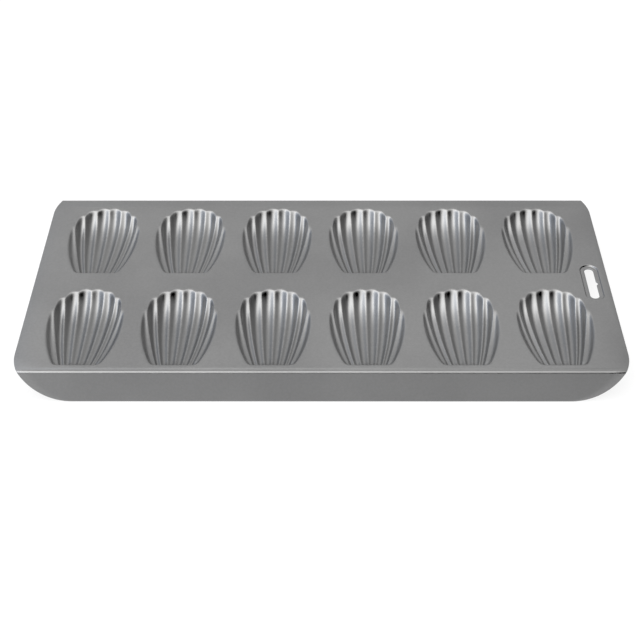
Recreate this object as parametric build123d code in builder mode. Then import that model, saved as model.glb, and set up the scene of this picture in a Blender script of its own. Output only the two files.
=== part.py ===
from build123d import *
import math
import os

# Pressed steel madeleine pan, twelve scalloped shell moulds in two rows of six.
# Lengths are millimetres. +X runs along the pan towards the hang slot, +Y towards the
# scalloped ends of the shells, +Z up. The origin lies under the middle of the pan, on
# the surface that its two long skirts stand on.

# Shell form
shell_length = 77.2         # narrow end to scalloped end, where the walls meet the web
shell_half_width = 24.7
shell_depth = 11.0
widest_distance = 7.8       # widest line, ahead of the middle of the shell
outline_power = 2.3         # fullness of the scalloped end's outline
floor_share = 0.5           # part of the depth in the round floor, the rest in the steep walls
floor_power = 2.0
wall_power = 6.0            # higher is steeper side walls
end_wall_power = 14.0       # the same for the narrow end wall
corner_power = 3.0          # squareness of the two corners at the narrow end
floor_rise_share = 0.40     # how much shallower the floor is at the narrow end
taper_share = 0.40          # how much narrower the shell is at the narrow end
taper_power = 2.2
rim_blend_height = 1.2      # size of the rounding where a wall meets the web

# Flutes of a shell
flute_height = 2.0          # ridge above channel, at the scalloped end
side_flute_share = 0.75     # how much higher the ridges are towards the sides
fan_distance = 118.0        # the flutes fan out from a point this far behind the middle
fan_curve_length = 107.0    # and bend in towards it, more so with a shorter length
ridge_slope_shares = (0.0, 0.061, 0.120, 0.168)   # sideways run of each ridge per reach
ridge_round_share = 0.28    # rounding of a ridge, in half lobe widths
side_lobe_half_width = 3.0  # outer flank of the last ridge
near_wall_length = 6.0      # the ridges fade out over the narrow end wall
near_wall_margin = 1.5

# Mould pattern
mould_columns = 6
mould_rows = 2
field_side_margin = 2.3     # flat field of sheet beside the shell pressed into it
field_end_margin = 2.8      # flat field beyond the two ends of a shell
field_corner_radius = 6.0
field_outline_shares = ((0.65, -1), (1, -0.19), (1, 0.41), (0.555, 1))
mould_gap_width = 8.4       # web between the fields of two columns
mould_gap_length = 13.4     # web between the fields of the two rows
left_margin = 13.6          # web left of the first column
front_margin = 3.2          # web from the front fold to the first row
rear_margin = 7.8
seam_gap = 0.02             # a field lies this much under the web's face and inside its window
field_overrun_length = 0.5  # the form is lofted this much wider, then cut to its field

# Hang slot in the right end of the web
slot_length = 33.0
slot_width = 6.25
slot_shift_length = -1.5    # along Y, from the middle of the mould pattern
recess_length = 39.6
recess_width = 12.8
recess_depth = 0.9
recess_wall_angle = 35.0
recess_border_width = 1.3   # the pressed field beyond the recess
recess_rim_radius = 0.5
recess_edge_margin = 3.8    # web between the pressed field and the right edge
recess_nesting_width = 3.8  # how far it reaches in between the last two mould fields
notch_width = 4.0           # small pointed notch in the slot's outer side
notch_depth = 1.5

# Sheet and folded long sides
sheet_thickness = 0.7
corner_radius = 37.8        # large round corners of the flat blank, before it is folded
skirt_width = 21.3          # developed, from the bend line to the cut edge
splay_angle = 17.8          # degrees that a skirt leans out from the vertical
bend_radius = 1.5           # outside radius of the fold
bend_stations = 7           # sections through the fold

# Sections that carry the shell form
stations_per_lobe = 5
stations_beside_lobes = 9
fine_section_gap = 1.0      # between sections at the two end walls
coarse_section_gap = 3.0    # between sections along the floor
ridge_field_share = 0.9     # no ridge station goes further out in its field
slope_probe_length = 0.001

# Worked out from the sizes above
half_shell = shell_length / 2
half_field_width = shell_half_width + field_side_margin
half_field_length = half_shell + field_end_margin
column_pitch = 2 * half_field_width + mould_gap_width
row_pitch = 2 * half_field_length + mould_gap_length
pattern_length = mould_columns * column_pitch - mould_gap_width
pattern_depth = mould_rows * row_pitch - mould_gap_length
recess_field_length = recess_length + 2 * recess_border_width
recess_field_width = recess_width + 2 * recess_border_width
right_margin = recess_edge_margin + recess_field_width - recess_nesting_width
pan_length = left_margin + pattern_length + right_margin      # 395
web_depth = front_margin + pattern_depth + rear_margin        # 190, between the two folds
column_shift = (left_margin - right_margin) / 2
row_shift = (front_margin - rear_margin) / 2
half_length = pan_length / 2
slot_place = (
    half_length - recess_edge_margin - recess_field_width / 2,
    row_shift + slot_shift_length,
)
bend_angle = 90.0 - splay_angle
bend_run = bend_radius * math.radians(bend_angle)
flat_run = skirt_width - bend_run
blank_depth = web_depth + skirt_width + skirt_width
lean = math.radians(splay_angle)
fold_height = bend_radius * (1 - math.sin(lean))
skirt_height = flat_run * math.cos(lean) + sheet_thickness * math.sin(lean)
pan_height = fold_height + skirt_height
mould_places = GridLocations(column_pitch, row_pitch, mould_columns, mould_rows)

os.makedirs("parts", exist_ok=True)


# Half the length of the blank at a given distance in from its long edge
def half_length_at(run):
    if run >= corner_radius:
        return half_length
    rise = corner_radius - run
    return half_length - corner_radius + math.sqrt(corner_radius**2 - rise**2)


# Half the width of a shell on the narrow side of its widest line
def narrow_share(back_share):
    return 1 - taper_share * back_share**taper_power


# Share of the depth that is gained on the way out from the middle: a round floor, then a wall
def wall_share(out_share):
    return floor_share * out_share**floor_power + (1 - floor_share) * out_share**wall_power


# Smooth bowl without flutes: 0 where it meets the web, deepest along the middle
def bowl_height(x, y):
    across = abs(x) / shell_half_width
    if y >= widest_distance:
        ahead = (y - widest_distance) / (half_shell - widest_distance)
        out_share = (across**outline_power + ahead**outline_power) ** (1 / outline_power)
        return -shell_depth * (1 - wall_share(out_share))
    back = (widest_distance - y) / (half_shell + widest_distance)
    side = wall_share(across / narrow_share(back)) ** corner_power
    end = back ** (end_wall_power * corner_power)
    depth = shell_depth * (1 - floor_rise_share * back**2)
    return -depth * (1 - (side + end) ** (1 / corner_power))


# How far the flutes have fanned out at a place along the shell
def fan_reach(y):
    return fan_distance + y - y**2 / fan_curve_length


# Rounded channels with a narrow ridge between each two
def flute_rise(x, y):
    reach = fan_reach(y)
    slope = abs(x) / reach
    rise = 0.0
    for i, ridge in enumerate(ridge_slope_shares):
        inner = ridge - ridge_slope_shares[i - 1] if i else ridge_slope_shares[1]
        half_lobe = inner / 2 * reach
        if slope > ridge:
            if i + 1 < len(ridge_slope_shares):
                half_lobe = (ridge_slope_shares[i + 1] - ridge) / 2 * reach
            else:
                half_lobe = side_lobe_half_width
        rounding = ridge_round_share * half_lobe
        away = math.hypot((slope - ridge) * reach, rounding) - rounding
        rise = max(rise, max(1 - away / half_lobe, 0.0) ** 2)
    back = max(widest_distance - y, 0.0) / (half_shell + widest_distance)
    out_share = abs(x) / shell_half_width / narrow_share(back)
    from_wall = (y + half_shell - near_wall_margin) / near_wall_length
    fade = min(max(from_wall, 0.0), 1.0)
    fade = fade**2 * (3 - 2 * fade)
    height = flute_height * (1 + side_flute_share * out_share**2)
    return height * rise * fade * reach / fan_reach(half_shell)


# Inner face of a shell, with its rim rounded into the flat web at height 0
def inner_height(x, y):
    height = bowl_height(x, y) + flute_rise(x, y)
    if height <= -rim_blend_height:
        return height
    if height >= rim_blend_height:
        return 0.0
    return -((rim_blend_height - height) ** 2) / (4 * rim_blend_height)


# Outer face, one sheet thickness below, measured square to the slope
def outer_height(x, y):
    probe = slope_probe_length
    slope_x = (inner_height(x + probe, y) - inner_height(x - probe, y)) / (probe + probe)
    slope_y = (inner_height(x, y + probe) - inner_height(x, y - probe)) / (probe + probe)
    return inner_height(x, y) - sheet_thickness * math.sqrt(1 + slope_x**2 + slope_y**2)


# Places across a section: even steps over each lobe, then out to the edge of the field
def stations_across(y):
    ridges = [share * fan_reach(y) for share in ridge_slope_shares]
    edge = half_field_width + field_overrun_length
    limit = ridge_field_share * edge
    ridges[-1] = min(ridges[-1], limit)
    places = []
    for start, end in zip(ridges, ridges[1:]):
        places += [start + (end - start) * i / stations_per_lobe for i in range(stations_per_lobe)]
    beside = edge - ridges[-1]
    places += [
        ridges[-1] + beside * i / stations_beside_lobes for i in range(stations_beside_lobes + 1)
    ]
    return [-x for x in reversed(places[1:])] + places


# Even steps from one place to the next
def even_steps(start, end, step):
    count = max(round((end - start) / step), 1)
    return [start + (end - start) * i / count for i in range(count)]


# Section places along a shell: close together at the end walls, wider along the floor
def stations_along():
    end = half_field_length + field_overrun_length
    floor_start = near_wall_length - half_shell
    floor_end = widest_distance + near_wall_length
    places = even_steps(-end, floor_start, fine_section_gap)
    places += even_steps(floor_start, floor_end, coarse_section_gap)
    places += even_steps(floor_end, end, fine_section_gap)
    return places + [end]


# Outline of one mould's field: wide beside the shell, drawn in towards its two ends
with BuildSketch() as mould_field:
    with BuildLine():
        right = [
            (half_field_width * across, half_field_length * along)
            for across, along in field_outline_shares
        ]
        left = [(-x, y) for x, y in reversed(right)]
        Polyline(*right, *left, close=True)
    make_face()
    fillet(vertices(), radius=field_corner_radius)

with BuildSketch() as mould_window:
    add(mould_field.sketch)
    offset(amount=seam_gap)

# Flat web with a window for each mould field and for the hang slot's pressed field
with BuildPart() as web:
    with BuildSketch(Plane.XY.offset(pan_height)):
        Rectangle(pan_length, blank_depth)
        fillet(vertices(), radius=corner_radius)
        Rectangle(pan_length, web_depth, mode=Mode.INTERSECT)
        for place in mould_places:
            with Locations(Pos(column_shift, row_shift) * place):
                add(mould_window.sketch, mode=Mode.SUBTRACT)
        with Locations(slot_place):
            SlotOverall(recess_field_length, recess_field_width, rotation=90, mode=Mode.SUBTRACT)
    extrude(amount=-sheet_thickness)
web.part.label = "web"
export_step(web.part, "parts/web.step")

# Front skirt: the fold, then the leaning flat side with the blank's round corners
fold_line = -web_depth / 2
fold_centre_height = pan_height - bend_radius
with BuildPart() as front_skirt:
    for i in range(bend_stations):
        turn = math.radians(bend_angle) * i / (bend_stations - 1)
        middle = bend_radius - sheet_thickness / 2
        section = Plane(
            origin=(
                0,
                fold_line - middle * math.sin(turn),
                fold_centre_height + middle * math.cos(turn),
            ),
            x_dir=(1, 0, 0),
            z_dir=(0, -math.cos(turn), -math.sin(turn)),
        )
        with BuildSketch(section):
            Rectangle(2 * half_length_at(skirt_width - bend_radius * turn), sheet_thickness)
    loft()
    turn = math.radians(bend_angle)
    side = Plane(
        origin=(
            0,
            fold_line - bend_radius * math.sin(turn),
            fold_centre_height + bend_radius * math.cos(turn),
        ),
        x_dir=(1, 0, 0),
        z_dir=(0, -math.sin(turn), math.cos(turn)),
    )
    with BuildSketch(side):
        with Locations((0, -flat_run)):
            Rectangle(pan_length, blank_depth, align=(Align.CENTER, Align.MIN))
        fillet(vertices(), radius=corner_radius)
        Rectangle(pan_length, flat_run, align=(Align.CENTER, Align.MAX), mode=Mode.INTERSECT)
    extrude(amount=-sheet_thickness)
front_skirt.part.label = "front_skirt"
export_step(front_skirt.part, "parts/front_skirt.step")

# Rear skirt: the same fold and side, mirrored
with BuildPart() as rear_skirt:
    mirror(front_skirt.part, about=Plane.XZ)
rear_skirt.part.label = "rear_skirt"
export_step(rear_skirt.part, "parts/rear_skirt.step")

# Hang slot: a shallow pressed recess with the cut slot and its notch in the floor
with BuildPart() as hang_slot_recess:
    with BuildSketch(Plane.XY.offset(pan_height)):
        with Locations(slot_place):
            SlotOverall(recess_field_length, recess_field_width, rotation=90)
    extrude(amount=-recess_depth - sheet_thickness)
    underside = faces().sort_by(Axis.Z)[0]
    chamfer(underside.edges(), length=recess_depth)
    with BuildSketch(Plane.XY.offset(pan_height)):
        with Locations(slot_place):
            SlotOverall(recess_length, recess_width, rotation=90)
    extrude(amount=-recess_depth, taper=recess_wall_angle, mode=Mode.SUBTRACT)
    rim_edges = faces().sort_by(Axis.Z)[-1].inner_wires().edges()
    fillet(rim_edges, radius=recess_rim_radius)
    with BuildSketch(Plane.XY.offset(pan_height)):
        with Locations(slot_place):
            SlotOverall(slot_length, slot_width, rotation=90)
            with BuildLine():
                Polyline(
                    (slot_width / 2, -notch_width / 2),
                    (slot_width / 2 + notch_depth, 0),
                    (slot_width / 2, notch_width / 2),
                    (0, 0),
                    close=True,
                )
            make_face()
    extrude(amount=-recess_depth - sheet_thickness, mode=Mode.SUBTRACT)
hang_slot_recess.part.label = "hang_slot_recess"
export_step(hang_slot_recess.part, "parts/hang_slot_recess.step")

# One shell mould in its flat field, lofted through sections across the pan
across_count = len(stations_across(0))
across_shares = [i / (across_count - 1) for i in range(across_count)]
with BuildPart() as shell_form:
    for y in stations_along():
        inner = [(x, inner_height(x, y)) for x in stations_across(y)]
        outer = [(x, outer_height(x, y)) for x in stations_across(y)]
        with BuildSketch(Plane.XZ.offset(-y)):
            with BuildLine():
                add(Edge.make_spline(inner, parameters=across_shares))
                add(Edge.make_spline(outer, parameters=across_shares))
                Line(inner[0], outer[0])
                Line(inner[-1], outer[-1])
            make_face()
    loft()
    with BuildSketch(Plane.XY.offset(rim_blend_height)):
        add(mould_field.sketch)
    extrude(amount=-rim_blend_height - shell_depth - sheet_thickness, mode=Mode.INTERSECT)

# The twelve moulds: the same form set into each window of the web
row_names = ("front", "rear")
for i, place in enumerate(mould_places):
    row = row_names[i % mould_rows]
    name = f"shell_mould_{row}_{i // mould_rows + 1}"
    with BuildPart() as shell_mould:
        with Locations(Pos(column_shift, row_shift, pan_height - seam_gap) * place):
            add(shell_form.part)
    shell_mould.part.label = name
    export_step(shell_mould.part, f"parts/{name}.step")
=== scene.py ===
import math

import bmesh
import bpy
from mathutils import Matrix, Vector
from mathutils.geometry import tessellate_polygon


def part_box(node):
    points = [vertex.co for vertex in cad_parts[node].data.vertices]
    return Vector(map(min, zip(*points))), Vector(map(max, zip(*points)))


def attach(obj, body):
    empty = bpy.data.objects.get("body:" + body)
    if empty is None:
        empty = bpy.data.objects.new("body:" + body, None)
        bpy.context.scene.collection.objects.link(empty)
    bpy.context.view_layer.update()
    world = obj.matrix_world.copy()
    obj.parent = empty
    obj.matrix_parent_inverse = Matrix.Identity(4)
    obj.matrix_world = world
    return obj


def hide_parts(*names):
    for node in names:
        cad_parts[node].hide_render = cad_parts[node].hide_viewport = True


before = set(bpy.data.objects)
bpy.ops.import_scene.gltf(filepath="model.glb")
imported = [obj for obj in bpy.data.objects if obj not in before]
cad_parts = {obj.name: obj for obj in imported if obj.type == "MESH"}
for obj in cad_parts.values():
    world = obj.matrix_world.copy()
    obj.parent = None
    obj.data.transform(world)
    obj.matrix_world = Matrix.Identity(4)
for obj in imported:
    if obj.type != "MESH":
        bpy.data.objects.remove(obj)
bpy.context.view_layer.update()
print("frame loaded")

mm = 0.001
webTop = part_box("web")[1].z

# Sizes that the pieces of the pressed sheet share
sheet = {
    "length": 395 * mm,
    "webDepth": 190 * mm,
    "thickness": 0.7 * mm,
    "cornerRadius": 37.8 * mm,
    "skirtWidth": 21.3 * mm,
    "flatStrip": 1.0 * mm,  # a skirt piece starts this far inside its fold
    "edgeRounding": 0.12 * mm,
    "roundingSegments": 2,
    "sharpAngle": math.radians(50),
}


class Wire:
    # an output socket; sums written with it add Math nodes
    def __init__(self, nodes, socket):
        self.nodes = nodes
        self.socket = socket

    def __add__(self, other):
        return self.nodes.math("ADD", self, other)

    def __radd__(self, other):
        return self.nodes.math("ADD", other, self)

    def __sub__(self, other):
        return self.nodes.math("SUBTRACT", self, other)

    def __rsub__(self, other):
        return self.nodes.math("SUBTRACT", other, self)

    def __mul__(self, other):
        return self.nodes.math("MULTIPLY", self, other)

    def __rmul__(self, other):
        return self.nodes.math("MULTIPLY", other, self)

    def __truediv__(self, other):
        return self.nodes.math("DIVIDE", self, other)

    def __rtruediv__(self, other):
        return self.nodes.math("DIVIDE", other, self)

    def __pow__(self, other):
        return self.nodes.math("POWER", self, other)

    def __gt__(self, other):
        return self.nodes.math("GREATER_THAN", self, other)

    def __lt__(self, other):
        return self.nodes.math("LESS_THAN", self, other)

    def __abs__(self):
        return self.nodes.math("ABSOLUTE", self)


class Nodes:
    def __init__(self, tree):
        self.tree = tree

    # settings are set first, then sockets by name or number: a value, a wire or a list of wires
    def add(self, kind, settings=None, sockets=None):
        node = self.tree.nodes.new(kind)
        for name, value in (settings or {}).items():
            setattr(node, name, value)
        for key, value in (sockets or {}).items():
            for one in value if isinstance(value, list) else [value]:
                if isinstance(one, Wire):
                    self.tree.links.new(one.socket, node.inputs[key])
                else:
                    node.inputs[key].default_value = one
        return node

    def get(self, kind, settings=None, sockets=None, output=0):
        return Wire(self, self.add(kind, settings, sockets).outputs[output])

    def math(self, operation, *values):
        return self.get("ShaderNodeMath", {"operation": operation}, dict(enumerate(values)))

    def least(self, a, b):
        return self.math("MINIMUM", a, b)

    def most(self, a, b):
        return self.math("MAXIMUM", a, b)

    def root(self, a):
        return self.math("SQRT", a)

    # a where mask is 1, b where it is 0
    def choose(self, mask, a, b):
        return mask * a + (1 - mask) * b

    def smooth(self, a):
        clamped = self.least(self.most(a, 0.0), 1.0)
        return clamped * clamped * (3 - 2 * clamped)


# Materials

steelLook = {
    "darkGrey": (0.226, 0.226, 0.227, 1),
    "lightGrey": (0.268, 0.268, 0.268, 1),
    "crestGrey": (0.33, 0.33, 0.33, 1),
    "metallic": 1.0,
    "roughness": 0.36,
    "speckRoughness": 0.10,
    "cloudRoughness": 0.08,
    "crestRoughness": 0.03,
    "cloudScale": 11.0,
    "cloudStart": 0.35,
    "cloudBlend": 0.3,
    "cloudShare": 0.65,  # the specks have the rest
    "speckScale": 620.0,
    "speckStart": 0.3,
    "speckBlend": 0.4,
    "wornStart": 0.25,
    "wornBlend": 0.5,
    "wornShare": 0.6,
    "grainScale": 1900.0,
    "grainHeight": 0.006 * mm,
    "speckHeightGain": 1.6,
    "waveScale": 16.0,
    "waveHeight": 0.08 * mm,
}

edgeLook = {
    "base": (0.16, 0.165, 0.175, 1),
    "bright": (0.34, 0.345, 0.35, 1),
    "metallic": 0.8,
    "roughness": 0.42,
    "grainRoughness": 0.2,
    "grainScale": 2400.0,
    "grainStart": 0.4,
    "grainBlend": 0.3,
    "grainHeight": 0.01 * mm,
}

floorLook = {
    "pale": (0.10, 0.10, 0.10, 1),
    "paler": (0.13, 0.13, 0.13, 1),
    "glowColour": (1.0, 1.0, 1.0, 1),
    "glow": 0.86,
    "roughness": 0.75,
    "cloudRoughness": 0.1,
    "cloudScale": 9.0,
}


def newMaterial(name):
    material = bpy.data.materials.new(name)
    material.use_nodes = True
    material.node_tree.nodes.clear()
    return material, Nodes(material.node_tree)


# The grey coat: soft clouds and fine specks, with the crests of the ridges rubbed lighter
def coatedSteel():
    look = steelLook
    material, n = newMaterial("coatedSteel")
    place = n.get("ShaderNodeTexCoord", output="Object")
    cloud = n.get("ShaderNodeTexNoise", sockets={
        "Vector": place, "Scale": look["cloudScale"], "Detail": 3.0, "Roughness": 0.5})
    grain = n.get("ShaderNodeTexNoise", sockets={
        "Vector": place, "Scale": look["grainScale"], "Detail": 2.0, "Roughness": 0.6})
    speck = n.get("ShaderNodeTexNoise", sockets={
        "Vector": place, "Scale": look["speckScale"], "Detail": 2.0, "Roughness": 0.55})
    wave = n.get("ShaderNodeTexNoise", sockets={
        "Vector": place, "Scale": look["waveScale"], "Detail": 1.0, "Roughness": 0.4})
    # stored by the moulds' node tree, and 0 on every other piece
    crest = n.get("ShaderNodeAttribute", {"attribute_name": "crest"}, output="Fac")

    clouds = n.smooth((cloud - look["cloudStart"]) / look["cloudBlend"])
    specks = n.smooth((speck - look["speckStart"]) / look["speckBlend"])
    tone = clouds * look["cloudShare"] + specks * (1 - look["cloudShare"])
    colour = n.get("ShaderNodeMix", {"data_type": "RGBA"}, {
        "Factor": tone, "A": look["darkGrey"], "B": look["lightGrey"]}, output="Result")
    rubbed = crest * n.smooth((speck - look["wornStart"]) / look["wornBlend"])
    worn = n.get("ShaderNodeMix", {"data_type": "RGBA"}, {
        "Factor": rubbed * look["wornShare"], "A": colour, "B": look["crestGrey"]},
        output="Result")
    roughness = (look["roughness"] + (speck - 0.5) * look["speckRoughness"]
                 + (cloud - 0.5) * look["cloudRoughness"] - crest * look["crestRoughness"])
    fine = n.get("ShaderNodeBump", sockets={
        "Strength": 1.0, "Distance": look["grainHeight"],
        "Height": grain + speck * look["speckHeightGain"]})
    bumps = n.get("ShaderNodeBump", sockets={
        "Strength": 1.0, "Distance": look["waveHeight"], "Height": wave, "Normal": fine})
    shader = n.get("ShaderNodeBsdfPrincipled", sockets={
        "Base Color": worn, "Metallic": look["metallic"], "Roughness": roughness,
        "Normal": bumps})
    n.add("ShaderNodeOutputMaterial", sockets={"Surface": shader})
    return material


# Bare steel where the sheet was cut
def cutEdge():
    look = edgeLook
    material, n = newMaterial("cutEdge")
    place = n.get("ShaderNodeTexCoord", output="Object")
    grain = n.get("ShaderNodeTexNoise", sockets={
        "Vector": place, "Scale": look["grainScale"], "Detail": 2.0, "Roughness": 0.6})
    grains = n.smooth((grain - look["grainStart"]) / look["grainBlend"])
    colour = n.get("ShaderNodeMix", {"data_type": "RGBA"}, {
        "Factor": grains, "A": look["base"], "B": look["bright"]}, output="Result")
    bump = n.get("ShaderNodeBump", sockets={
        "Strength": 1.0, "Distance": look["grainHeight"], "Height": grain})
    shader = n.get("ShaderNodeBsdfPrincipled", sockets={
        "Base Color": colour, "Metallic": look["metallic"],
        "Roughness": look["roughness"] + (grain - 0.5) * look["grainRoughness"],
        "Normal": bump})
    n.add("ShaderNodeOutputMaterial", sockets={"Surface": shader})
    return material


# A floor that glows to the photo's white
def paleFloor():
    look = floorLook
    material, n = newMaterial("paleFloor")
    place = n.get("ShaderNodeTexCoord", output="Object")
    cloud = n.get("ShaderNodeTexNoise", sockets={
        "Vector": place, "Scale": look["cloudScale"], "Detail": 2.0, "Roughness": 0.5})
    colour = n.get("ShaderNodeMix", {"data_type": "RGBA"}, {
        "Factor": cloud, "A": look["pale"], "B": look["paler"]}, output="Result")
    shader = n.get("ShaderNodeBsdfPrincipled", sockets={
        "Base Color": colour,
        "Roughness": look["roughness"] + (cloud - 0.5) * look["cloudRoughness"],
        "Emission Color": look["glowColour"], "Emission Strength": look["glow"]})
    n.add("ShaderNodeOutputMaterial", sockets={"Surface": shader})
    return material


coated = coatedSteel()
rawEdge = cutEdge()
print("materials made")


# Mesh helpers

def newObject(name, mesh):
    piece = bpy.data.objects.new(name, mesh)
    bpy.context.scene.collection.objects.link(piece)
    return piece


# Runs the modifiers and leaves a plain smooth mesh
def bakeModifiers(piece):
    bpy.context.view_layer.update()
    evaluated = piece.evaluated_get(bpy.context.evaluated_depsgraph_get())
    mesh = bpy.data.meshes.new_from_object(evaluated)
    mesh.name = piece.name
    piece.modifiers.clear()
    piece.data = mesh
    mesh.polygons.foreach_set("use_smooth", [True] * len(mesh.polygons))
    mesh.set_sharp_from_angle(angle=sheet["sharpAngle"])
    return piece


def finishPiece(piece, *nodes):
    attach(piece, "root")
    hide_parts(*nodes)


def roundCutEdges(piece):
    bevel = piece.modifiers.new("edgeRounding", "BEVEL")
    bevel.limit_method = "WEIGHT"
    bevel.width = sheet["edgeRounding"]
    bevel.segments = sheet["roundingSegments"]
    return bakeModifiers(piece)


# A sheet between two grids of points. cutSides names the borders that are cut edges.
def slabMesh(name, upper, lower, cutSides, ring=False):
    bm = bmesh.new()
    weight = bm.edges.layers.float.new("bevel_weight_edge")
    top = [[bm.verts.new(p) for p in row] for row in upper]
    bottom = [[bm.verts.new(p) for p in row] for row in lower]
    rows, columns = len(top), len(top[0])
    spans = columns if ring else columns - 1
    for r in range(rows - 1):
        for c in range(spans):
            d = (c + 1) % columns
            bm.faces.new((top[r][c], top[r][d], top[r + 1][d], top[r + 1][c]))
            bm.faces.new((bottom[r][c], bottom[r + 1][c], bottom[r + 1][d], bottom[r][d]))
    borders = {
        "start": [(0, c, 0, (c + 1) % columns) for c in range(spans)],
        "end": [(rows - 1, (c + 1) % columns, rows - 1, c) for c in range(spans)],
    }
    if not ring:
        borders["left"] = [(r + 1, 0, r, 0) for r in range(rows - 1)]
        borders["right"] = [(r, columns - 1, r + 1, columns - 1) for r in range(rows - 1)]
    for side, edges in borders.items():
        for r, c, s, d in edges:
            wall = bm.faces.new((top[s][d], top[r][c], bottom[r][c], bottom[s][d]))
            if side in cutSides:
                wall.material_index = 1
                bm.edges.get((top[r][c], top[s][d]))[weight] = 1.0
                bm.edges.get((bottom[r][c], bottom[s][d]))[weight] = 1.0
    mesh = bpy.data.meshes.new(name)
    bm.to_mesh(mesh)
    bm.free()
    mesh.materials.append(coated)
    mesh.materials.append(rawEdge)
    return mesh


def steps(start, end, count):
    return [start + (end - start) * i / count for i in range(count)]


# Half the blank's length at a distance in from its long cut edge
def halfLengthAt(run):
    radius = sheet["cornerRadius"]
    straight = sheet["length"] / 2 - radius
    if run >= radius:
        return straight + radius
    return straight + math.sqrt(radius**2 - (radius - run) ** 2)


# Shell moulds: a fan-shaped grid pressed into its form by a node tree

mould = {
    "columns": 6,
    "pitch": 62.4 * mm,
    "rowPitch": 96.2 * mm,
    "shiftX": -0.9 * mm,
    "shiftY": -2.3 * mm,
    # mm: half widths of the field and where along it, from the narrow to the scalloped end
    "field": [(17.5, -41.4), (27.0, -8.0), (27.0, 22.0), (23.5, 30.0), (23.5, 41.4)],
    # mm along the field, and how many rows of cells lie from there to the next
    "rows": [(-41.4, 2), (-39.6, 18), (-29.0, 13), (-8.0, 14), (14.0, 12), (22.0, 13),
             (30.0, 16), (38.9, 2), (41.4, 0)],
    "cellsPerLobe": 11,
    "cellsBeside": 11,
    "lobeBunching": 0.55,  # how far the columns gather at the ridges
    "ridgeFieldShare": 0.9,  # the last ridge's column stays within this share of the field
    "rowTolerance": 1e-9,
    "mergeDistance": 0.001 * mm,
    "leastUpright": 0.2,  # bounds how far the outer face drops under a steep wall
}

shellForm = {
    "Shell Length": 77.2 * mm,
    "Half Width": 24.7 * mm,
    "Depth": 11.0 * mm,
    "Widest At": 7.8 * mm,
    "Fan Distance": 118.0 * mm,
    "Fan Curve": 107.0 * mm,
    "Flute Height": 2.0 * mm,
    "Rim Softness": 1.2 * mm,
    "Near Wall Length": 6.0 * mm,
    "Near Wall Start": 1.5 * mm,
    "Outline Power": 2.3,
    "Floor Share": 0.5,
    "Floor Power": 2.0,
    "Wall Power": 6.0,
    "End Wall Power": 14.0,
    "Corner Power": 3.0,
    "Floor Rise": 0.40,
    "Taper": 0.40,
    "Taper Power": 2.2,
    "Ridge 1 Slope": 0.061,
    "Ridge 2 Slope": 0.120,
    "Ridge 3 Slope": 0.168,
    "Ridge Rounding": 0.28,
    "Side Lobe Half Width": 3.0 * mm,
    "Side Flute Gain": 0.75,
    "Crest Width": 0.8 * mm,
}


def fieldHalfWidth(y):
    knots = mould["field"]
    for (w0, y0), (w1, y1) in zip(knots, knots[1:]):
        if y <= y1 + mould["rowTolerance"]:
            return w0 + (w1 - w0) * (y - y0) / (y1 - y0)
    return knots[-1][0]


# Columns run along the ridges and gather there; beyond the last ridge they spread to the border
def fanColumns(y):
    reach = shellForm["Fan Distance"] / mm + y - y**2 * mm / shellForm["Fan Curve"]
    edge = fieldHalfWidth(y)
    ridges = [0.0] + [shellForm[f"Ridge {i} Slope"] * reach for i in (1, 2, 3)]
    ridges[3] = min(ridges[3], mould["ridgeFieldShare"] * edge)
    places = []
    for a, b in zip(ridges, ridges[1:]):
        for share in steps(0.0, 1.0, mould["cellsPerLobe"]):
            bunched = share - mould["lobeBunching"] * math.sin(2 * math.pi * share) / (2 * math.pi)
            places.append(a + (b - a) * bunched)
    places += steps(ridges[3], edge, mould["cellsBeside"]) + [edge]
    return [-x for x in reversed(places[1:])] + places


def fanGrid():
    ys = []
    for (y0, count), (y1, _) in zip(mould["rows"], mould["rows"][1:]):
        ys += steps(y0, y1, count)
    ys.append(mould["rows"][-1][0])
    rows = [[(x * mm, y * mm, 0.0) for x in fanColumns(y)] for y in ys]
    columns = len(rows[0])
    faces = []
    for r in range(len(rows) - 1):
        for c in range(columns - 1):
            a = r * columns + c
            faces.append((a, a + 1, a + columns + 1, a + columns))
    mesh = bpy.data.meshes.new("fanGrid")
    mesh.from_pydata([p for row in rows for p in row], [], faces)
    return mesh


def addInput(tree, name, kind, value=None):
    socket = tree.interface.new_socket(name=name, in_out="INPUT", socket_type=kind)
    if value is not None:
        socket.default_value = value


# How much of the depth is lost at u, which runs from 0 in the middle to 1 at the rim
def wallFall(size, u):
    share = size["Floor Share"]
    return share * u ** size["Floor Power"] + (1 - share) * u ** size["Wall Power"]


# How far behind the widest line, as a share of the way to the narrow end
def backShare(n, size, y):
    return n.most(size["Widest At"] - y, 0.0) / (size["Shell Length"] / 2 + size["Widest At"])


# Place across as a share of the half width there
def acrossShare(n, size, x, y):
    narrow = 1 - size["Taper"] * backShare(n, size, y) ** size["Taper Power"]
    return x / size["Half Width"] / narrow


# The bowl: one rule ahead of the widest line, another behind it
def bowlHeight(n, size, x, y):
    widest = size["Widest At"]
    across = x / size["Half Width"]
    ahead = n.most(y - widest, 0.0) / (size["Shell Length"] / 2 - widest)
    curve = size["Outline Power"]
    fallAhead = wallFall(size, (across ** curve + ahead ** curve) ** (1 / curve))
    frontBowl = size["Depth"] * (fallAhead - 1)
    back = backShare(n, size, y)
    corner = size["Corner Power"]
    side = wallFall(size, acrossShare(n, size, x, y)) ** corner
    end = back ** (size["End Wall Power"] * corner)
    fallBehind = (side + end) ** (1 / corner)
    backBowl = size["Depth"] * (1 - size["Floor Rise"] * back * back) * (fallBehind - 1)
    return n.choose(y > widest, frontBowl, backBowl)


# Distance from the point where the ridges would meet, eased along the shell
def fanReach(size, y):
    return size["Fan Distance"] + y - y * y / size["Fan Curve"]


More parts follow.
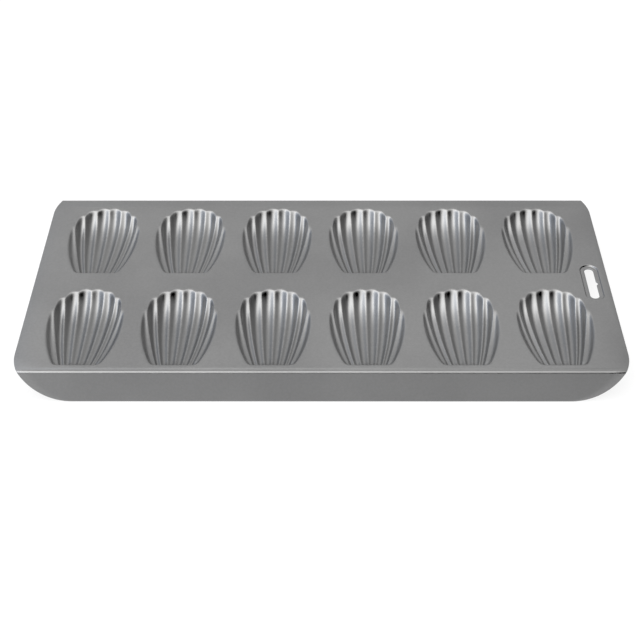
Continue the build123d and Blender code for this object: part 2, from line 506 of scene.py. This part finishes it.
# Rounded channels with a ridge between each two: their rise, and how near each place is to a crest
def fluteRise(n, size, x, y):
    reach = fanReach(size, y)
    slope = x / reach
    ridges = [0.0] + [size[f"Ridge {i} Slope"] for i in (1, 2, 3)]
    gaps = [ridges[1], ridges[2] - ridges[1], ridges[3] - ridges[2]]
    rise = None
    crest = None
    for i, ridge in enumerate(ridges):
        inner = gaps[max(i - 1, 0)]
        outer = gaps[min(i, 2)]
        outward = size["Side Lobe Half Width"] if i == 3 else outer * reach / 2
        halfLobe = n.choose(slope < ridge, inner * reach / 2, outward)
        rounding = size["Ridge Rounding"] * halfLobe
        sideways = (slope - ridge) * reach
        away = n.root(sideways * sideways + rounding * rounding) - rounding
        swell = n.most(1 - away / halfLobe, 0.0)
        swell = swell * swell
        near = 1 - n.smooth(abs(sideways) / size["Crest Width"])
        rise = swell if rise is None else n.most(rise, swell)
        crest = near if crest is None else n.most(crest, near)
    half = size["Shell Length"] / 2
    fade = n.smooth((y + half - size["Near Wall Start"]) / size["Near Wall Length"])
    gain = 1 + size["Side Flute Gain"] * acrossShare(n, size, x, y) ** 2
    height = size["Flute Height"] * gain * rise * fade * reach / fanReach(size, half)
    return height, crest * fade


# Rounds the rim into the flat web
def roundedRim(n, size, height):
    soft = size["Rim Softness"]
    inRim = n.least(n.most(height, 0 - soft), soft)
    return n.least(height + soft, 0.0) - (soft - inRim) * (soft - inRim) / (4 * soft)


# The outer face lies one sheet thickness under the inner one, a wall round the border closes them
def sheetShell(n, size, pressed, crest):
    inside = n.smooth((0 - pressed) / size["Rim Softness"])
    lift = n.get("ShaderNodeCombineXYZ", sockets={"Z": pressed})
    inner = n.get("GeometryNodeStoreNamedAttribute", {"data_type": "FLOAT", "domain": "POINT"}, {
        "Geometry": size["Geometry"], "Name": "crest", "Value": crest * inside})
    inner = n.get("GeometryNodeSetPosition", sockets={"Geometry": inner, "Offset": lift})
    extruded = n.add("GeometryNodeExtrudeMesh", sockets={"Mesh": inner, "Offset Scale": 0.0})
    extruded.inputs["Individual"].default_value = False
    normal = n.add("ShaderNodeSeparateXYZ", sockets={0: n.get("GeometryNodeInputNormal")})
    upright = n.most(Wire(n, normal.outputs["Z"]), mould["leastUpright"])
    drop = n.get("ShaderNodeCombineXYZ", sockets={"Z": 0 - size["Sheet Thickness"] / upright})
    outer = n.get("GeometryNodeSetPosition", sockets={
        "Geometry": Wire(n, extruded.outputs["Mesh"]),
        "Selection": Wire(n, extruded.outputs["Top"]), "Offset": drop})
    outer = n.get("GeometryNodeFlipFaces", sockets={"Mesh": outer})
    shell = n.get("GeometryNodeJoinGeometry", sockets={"Geometry": [inner, outer]})
    return n.get("GeometryNodeMergeByDistance", sockets={
        "Geometry": shell, "Distance": mould["mergeDistance"]})


def rowOfShells(n, size, shell):
    step = n.get("ShaderNodeCombineXYZ", sockets={"X": size["Pitch"]})
    middle = n.get("ShaderNodeCombineXYZ", sockets={"X": size["Pitch"] * (size["Columns"] - 1) / 2})
    start = n.get("ShaderNodeVectorMath", {"operation": "SUBTRACT"}, {
        0: size["Row Centre"], 1: middle})
    line = n.get("GeometryNodeMeshLine", {"mode": "OFFSET"}, {
        "Count": size["Columns"], "Start Location": start, "Offset": step})
    row = n.get("GeometryNodeInstanceOnPoints", sockets={"Points": line, "Instance": shell})
    row = n.get("GeometryNodeRealizeInstances", sockets={"Geometry": row})
    return n.get("GeometryNodeSetMaterial", sockets={
        "Geometry": row, "Material": size["Material"]})


def mouldTree():
    tree = bpy.data.node_groups.new("shellMouldRow", "GeometryNodeTree")
    addInput(tree, "Geometry", "NodeSocketGeometry")
    for name, value in shellForm.items():
        addInput(tree, name, "NodeSocketFloat", value)
    addInput(tree, "Sheet Thickness", "NodeSocketFloat", sheet["thickness"])
    addInput(tree, "Columns", "NodeSocketInt", mould["columns"])
    addInput(tree, "Pitch", "NodeSocketFloat", mould["pitch"])
    addInput(tree, "Row Centre", "NodeSocketVector")
    addInput(tree, "Material", "NodeSocketMaterial")
    tree.interface.new_socket(name="Geometry", in_out="OUTPUT", socket_type="NodeSocketGeometry")

    n = Nodes(tree)
    given = n.add("NodeGroupInput")
    size = {socket.name: Wire(n, socket) for socket in given.outputs if socket.name}
    place = n.add("ShaderNodeSeparateXYZ", sockets={0: n.get("GeometryNodeInputPosition")})
    x = abs(Wire(n, place.outputs["X"]))
    y = Wire(n, place.outputs["Y"])

    flutes, crest = fluteRise(n, size, x, y)
    pressed = roundedRim(n, size, bowlHeight(n, size, x, y) + flutes)
    shell = sheetShell(n, size, pressed, crest)
    n.add("NodeGroupOutput", sockets={0: rowOfShells(n, size, shell)})
    return tree


def mouldRow(name, tree, side):
    piece = newObject(name, fanGrid())
    press = piece.modifiers.new("press", "NODES")
    press.node_group = tree
    values = {
        "Row Centre": (mould["shiftX"], mould["shiftY"] + side * mould["rowPitch"] / 2, webTop),
        "Material": coated,
    }
    for item in tree.interface.items_tree:
        if item.in_out == "INPUT" and item.name in values:
            press[item.identifier] = values[item.name]
    return bakeModifiers(piece)


tree = mouldTree()
for word, side in (("front", -1), ("rear", 1)):
    row = mouldRow(f"shellMoulds_{word}", tree, side)
    finishPiece(row, *[f"shell_mould_{word}_{i + 1}" for i in range(mould["columns"])])
    print(row.name, len(row.data.vertices), "vertices")


# Hang slot in its pressed recess

slot = {
    "middle": (186.0 * mm, -3.8 * mm),
    "straightHalf": 13.4 * mm,
    "recessHalfWidth": 6.4 * mm,
    "recessDepth": 0.9 * mm,
    "wallLean": math.radians(35),
    "rimRadius": 0.6 * mm,
    "footRadius": 0.5 * mm,
    "border": 0.7 * mm,
    "slotHalfWidth": 3.125 * mm,
    "notchBase": 4.0 * mm,
    "notchDepth": 1.5 * mm,
    "notchMargin": 0.2 * mm,  # flat floor between the notch's tip and the next ring
    "arcSteps": 40,
    "straightSteps": 6,
    "roundSteps": 6,
}


# Distance from the slot's spine, height and slope of the pressed profile, from its border inwards
def recessProfile():
    s = slot
    fall = math.pi / 2 - s["wallLean"]
    rimTangent = s["rimRadius"] * math.tan(fall / 2)
    footTangent = s["footRadius"] * math.tan(fall / 2)
    footAt = s["recessHalfWidth"] - s["recessDepth"] / math.tan(fall)
    profile = [(s["recessHalfWidth"] + s["border"], 0.0, 0.0)]
    for i in range(s["roundSteps"] + 1):
        a = fall * i / s["roundSteps"]
        away = s["recessHalfWidth"] + rimTangent - s["rimRadius"] * math.sin(a)
        profile.append((away, -s["rimRadius"] * (1 - math.cos(a)), a))
    for i in range(s["roundSteps"], -1, -1):
        a = fall * i / s["roundSteps"]
        away = footAt - footTangent + s["footRadius"] * math.sin(a)
        profile.append((away, -s["recessDepth"] + s["footRadius"] * (1 - math.cos(a)), a))
    pastNotch = s["slotHalfWidth"] + s["notchDepth"] + s["notchMargin"]
    profile.append((pastNotch, -s["recessDepth"], 0.0))
    profile.append((s["slotHalfWidth"], -s["recessDepth"], 0.0))
    return profile


# Points round the spine: the right side upwards, the far end, the left side down, the near end
def spineTurns():
    s = slot
    h, base = s["straightHalf"], s["notchBase"] / 2
    below = steps(-h, -base, s["straightSteps"])
    above = [-y for y in reversed(below)]
    ups = below + [-base, 0.0, base] + above
    turns = [(y, 0.0) for y in ups]
    turns += [(h, math.pi * i / s["arcSteps"]) for i in range(1, s["arcSteps"])]
    turns += [(y, math.pi) for y in reversed(ups)]
    turns += [(-h, math.pi + math.pi * i / s["arcSteps"]) for i in range(1, s["arcSteps"])]
    return turns


def ringAround(away, height, notch=0.0):
    points = []
    for along, angle in spineTurns():
        reach = away
        if angle == 0.0 and abs(along) < slot["notchBase"] / 2:
            reach += notch * (1 - abs(along) / (slot["notchBase"] / 2))
        points.append((slot["middle"][0] + reach * math.cos(angle),
                       slot["middle"][1] + along + reach * math.sin(angle), height))
    return points


def hangSlot():
    profile = recessProfile()
    upper, lower = [], []
    for i, (away, height, slope) in enumerate(profile):
        notch = slot["notchDepth"] if i == len(profile) - 1 else 0.0
        upper.append(ringAround(away, webTop + height, notch))
        drop = sheet["thickness"] / math.cos(slope)
        lower.append(ringAround(away, webTop + height - drop, notch))
    mesh = slabMesh("hangSlotRecess", upper, lower, {"end"}, ring=True)
    return roundCutEdges(newObject("hangSlotRecess", mesh))


finishPiece(hangSlot(), "hang_slot_recess")
print("hang slot made")


# Flat web with a window for each mould and for the slot

web = {
    "cornerSteps": 16,
    "seamTolerance": 0.0001 * mm,
}


def webOutline():
    half = sheet["length"] / 2
    radius = sheet["cornerRadius"]
    stripY = sheet["webDepth"] / 2 - sheet["flatStrip"]
    straightY = sheet["webDepth"] / 2 + sheet["skirtWidth"] - radius
    last = math.asin((stripY - straightY) / radius)
    corner = []
    for i in range(web["cornerSteps"] + 1):
        a = last * i / web["cornerSteps"]
        corner.append((half - radius + radius * math.cos(a), straightY + radius * math.sin(a)))
    return (corner + [(-x, y) for x, y in reversed(corner)] + [(-x, -y) for x, y in corner]
            + [(x, -y) for x, y in reversed(corner)])


def mouldWindows():
    edge = [(w * mm, y * mm) for w, y in mould["field"]]
    loop = edge + [(-w, y) for w, y in reversed(edge)]
    windows = []
    for i in range(mould["columns"]):
        for side in (-1, 1):
            x0 = mould["shiftX"] + (i - (mould["columns"] - 1) / 2) * mould["pitch"]
            y0 = mould["shiftY"] + side * mould["rowPitch"] / 2
            windows.append([(x0 + x, y0 + y) for x, y in loop])
    return windows


def webPiece():
    outline = webOutline()
    windows = mouldWindows()
    windows.append([(x, y) for x, y, _ in ringAround(recessProfile()[0][0], 0.0)])
    loops = [outline] + windows
    flat = [point for loop in loops for point in loop]
    triangles = tessellate_polygon([[Vector((x, y, 0)) for x, y in loop] for loop in loops])
    bm = bmesh.new()
    weight = bm.edges.layers.float.new("bevel_weight_edge")
    top = [bm.verts.new((x, y, webTop)) for x, y in flat]
    bottom = [bm.verts.new((x, y, webTop - sheet["thickness"])) for x, y in flat]
    for a, b, c in triangles:
        (xa, ya), (xb, yb), (xc, yc) = flat[a], flat[b], flat[c]
        if (xb - xa) * (yc - ya) - (yb - ya) * (xc - xa) < 0:
            b, c = c, b
        bm.faces.new((top[a], top[b], top[c]))
        bm.faces.new((bottom[a], bottom[c], bottom[b]))
    first = 0
    stripY = sheet["webDepth"] / 2 - sheet["flatStrip"]
    for k, loop in enumerate(loops):
        area = sum(x0 * y1 - x1 * y0 for (x0, y0), (x1, y1) in zip(loop, loop[1:] + loop[:1]))
        outward = (area > 0) == (k == 0)
        for i in range(len(loop)):
            a, b = first + i, first + (i + 1) % len(loop)
            if not outward:
                a, b = b, a
            wall = bm.faces.new((top[b], top[a], bottom[a], bottom[b]))
            seam = min(abs(flat[a][1]), abs(flat[b][1])) > stripY - web["seamTolerance"]
            if k == 0 and not seam:
                wall.material_index = 1
                bm.edges.get((top[a], top[b]))[weight] = 1.0
                bm.edges.get((bottom[a], bottom[b]))[weight] = 1.0
        first += len(loop)
    mesh = bpy.data.meshes.new("web")
    bm.to_mesh(mesh)
    bm.free()
    mesh.materials.append(coated)
    mesh.materials.append(rawEdge)
    return roundCutEdges(newObject("web_sheet", mesh))


finishPiece(webPiece(), "web")
print("web made")


# Long skirts, folded down from the web

skirt = {
    "splay": math.radians(17.8),
    "bendRadius": 1.5 * mm,  # outside the fold
    "foldSteps": 24,
    "cornerSteps": 26,
    "columns": 48,
}


# Outer and inner points of the sheet's section at a run from the start of the fold
def skirtSection(run):
    radius = skirt["bendRadius"]
    fullTurn = math.pi / 2 - skirt["splay"]
    turn = min(max(run / radius, 0.0), fullTurn)
    beyond = max(run - radius * fullTurn, 0.0)
    outY = sheet["webDepth"] / 2 + min(run, 0.0) + radius * math.sin(turn)
    outZ = webTop - radius * (1 - math.cos(turn))
    outY += beyond * math.cos(turn)
    outZ -= beyond * math.sin(turn)
    thick = sheet["thickness"]
    return (outY, outZ), (outY - thick * math.sin(turn), outZ - thick * math.cos(turn))


def skirtPiece(name, side):
    radius = skirt["bendRadius"]
    fullTurn = math.pi / 2 - skirt["splay"]
    bendRun = radius * fullTurn
    corner = sheet["cornerRadius"]
    runs = [-sheet["flatStrip"], -sheet["flatStrip"] / 2] + steps(0.0, bendRun, skirt["foldSteps"])
    first = math.acos(1 - (sheet["skirtWidth"] - bendRun) / corner)
    for i in range(skirt["cornerSteps"] + 1):
        a = first * (1 - i / skirt["cornerSteps"])
        runs.append(sheet["skirtWidth"] - corner * (1 - math.cos(a)))
    upper, lower = [], []
    for run in runs:
        (outY, outZ), (inY, inZ) = skirtSection(run)
        half = halfLengthAt(sheet["skirtWidth"] - run)
        xs = [half * (2 * c / skirt["columns"] - 1) for c in range(skirt["columns"] + 1)]
        if side < 0:
            xs.reverse()
        upper.append([(x, side * outY, outZ) for x in xs])
        lower.append([(x, side * inY, inZ) for x in xs])
    mesh = slabMesh(name, upper, lower, {"left", "right", "end"})
    return roundCutEdges(newObject(name, mesh))


finishPiece(skirtPiece("skirt_front", -1), "front_skirt")
finishPiece(skirtPiece("skirt_rear", 1), "rear_skirt")
print("skirts made")


# Floor, light and camera

studio = {
    "floorSize": 6.0,
    # the dim room, and the long bright panel from over the pan to the front of it
    "back": (0.83, 0.83, 0.83, 1),
    "leftWall": (0.33, 0.36, 0.41, 1),
    "rightWall": (0.19, 0.19, 0.19, 1),
    "wallGlow": 3.0,  # how much lighter the walls are overhead
    "wallStart": 0.38,
    "wallBlend": 0.24,
    "frontDim": 0.85,
    "frontStart": 0.4,  # turns run from 0 at the back over 0.5 overhead to 1 at the front
    "frontBlend": 0.5,
    "frontLean": 2.5,
    "panelColour": (1.0, 0.99, 0.975, 1),
    "panel": 1.85,
    "panelLean": 1.5,
    "panelStart": 0.22,
    "panelStartBlend": 0.24,
    "panelEnd": 0.88,
    "panelEndBlend": 0.12,
    "panelLeft": -0.75,
    "panelLeftBlend": 0.28,
    "panelRight": 0.80,
    "panelRightBlend": 0.28,
}

view = {
    "focalPixels": 1298.0,
    "elevation": 0.69203,
    "turn": -0.003565,
    "roll": -0.00208,
    "webCentreSeen": (1.0407 * mm, -28.335 * mm, 896.02 * mm),
    "framePixels": 640,
    "sensorWidth": 36.0,
    "clipStart": 10 * mm,
}


def floorPlane():
    half = studio["floorSize"] / 2
    mesh = bpy.data.meshes.new("floor")
    corners = [(-half, -half, 0), (half, -half, 0), (half, half, 0), (-half, half, 0)]
    mesh.from_pydata(corners, [], [(0, 1, 2, 3)])
    mesh.materials.append(paleFloor())
    newObject("floor", mesh)


def studioWorld():
    world = bpy.data.worlds.new("studio")
    bpy.context.scene.world = world
    world.use_nodes = True
    world.node_tree.nodes.clear()
    n = Nodes(world.node_tree)
    look = studio
    place = n.add("ShaderNodeSeparateXYZ", sockets={
        0: n.get("ShaderNodeTexCoord", output="Generated")})
    x, y, z = (Wire(n, place.outputs[axis]) for axis in "XYZ")
    turn = n.math("ARCTAN2", z, y) / math.pi
    walls = n.get("ShaderNodeMix", {"data_type": "RGBA"}, {
        "Factor": x > 0.0, "A": look["leftWall"], "B": look["rightWall"]},
        output="Result")
    overhead = 1 + look["wallGlow"] * z
    lift = n.get("ShaderNodeCombineColor", sockets={
        "Red": overhead, "Green": overhead, "Blue": overhead})
    upward = n.get("ShaderNodeMix", {"data_type": "RGBA", "blend_type": "MULTIPLY"}, {
        "Factor": 1.0, "A": walls, "B": lift}, output="Result")
    aside = n.smooth((abs(x) - look["wallStart"]) / look["wallBlend"])
    room = n.get("ShaderNodeMix", {"data_type": "RGBA"}, {
        "Factor": aside, "A": look["back"], "B": upward}, output="Result")
    forward = n.smooth((turn - look["frontStart"]) / look["frontBlend"])
    dimmed = 1 - look["frontDim"] * forward * (1 + look["frontLean"] * x)
    panel = n.smooth((turn - look["panelStart"]) / look["panelStartBlend"])
    panel = panel * n.smooth((look["panelEnd"] - turn) / look["panelEndBlend"])
    panel = panel * n.smooth((x - look["panelLeft"]) / look["panelLeftBlend"])
    panel = panel * n.smooth((look["panelRight"] - x) / look["panelRightBlend"])
    panel = panel * (1 - look["panelLean"] * x)
    roomLight = n.get("ShaderNodeBackground", sockets={"Color": room, "Strength": dimmed})
    panelLight = n.get("ShaderNodeBackground", sockets={
        "Color": look["panelColour"], "Strength": panel * look["panel"]})
    light = n.get("ShaderNodeAddShader", sockets={0: roomLight, 1: panelLight})
    n.add("ShaderNodeOutputWorld", sockets={"Surface": light})


def photoCamera():
    camera = bpy.data.cameras.new("photo")
    camera.sensor_width = view["sensorWidth"]
    camera.lens = view["focalPixels"] * camera.sensor_width / view["framePixels"]
    camera.clip_start = view["clipStart"]
    rig = newObject("photo", camera)
    e = view["elevation"]
    rows = Matrix(((1, 0, 0), (0, -math.sin(e), -math.cos(e)), (0, math.cos(e), -math.sin(e))))
    turned = Matrix.Rotation(view["roll"], 3, "Z") @ rows @ Matrix.Rotation(view["turn"], 3, "Z")
    seen = turned.transposed() @ Vector(view["webCentreSeen"])
    right, down, ahead = turned
    axes = Matrix((right, -down, -ahead)).transposed().to_4x4()
    rig.matrix_world = Matrix.Translation(Vector((0, 0, webTop)) - seen) @ axes
    bpy.context.scene.camera = rig


bpy.context.scene.view_settings.view_transform = "Standard"
floorPlane()
studioWorld()
photoCamera()
print("studio made")
